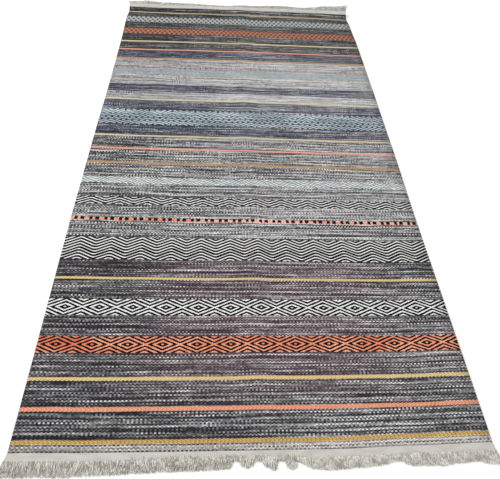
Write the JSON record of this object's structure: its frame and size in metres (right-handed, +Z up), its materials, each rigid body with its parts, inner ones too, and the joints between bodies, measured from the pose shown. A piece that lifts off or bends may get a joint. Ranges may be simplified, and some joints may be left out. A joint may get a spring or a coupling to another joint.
{
  "type": "kilim-pattern rug",
  "caption": "Flat-woven kilim-pattern rug with cross stripes and diamond and zigzag bands, and a short fringe on a woven heading at each end.",
  "frame": {"origin": "centre of the rug on the surface that it lies on", "axes": "+X across the rug to the right, +Y along it towards the far end that curls up, +Z up out of its face"},
  "size_m": [0.8085, 1.5965, 0.024],
  "materials": {
    "woven_field": "flat-woven cotton in melange greys with coloured stripes, matte",
    "fringe_yarn": "cream cotton yarn, matte"
  },
  "bodies": {
    "root": {"field": "woven_field", "near_fringe": "fringe_yarn", "far_fringe": "fringe_yarn"}
  },
  "joints": []
}
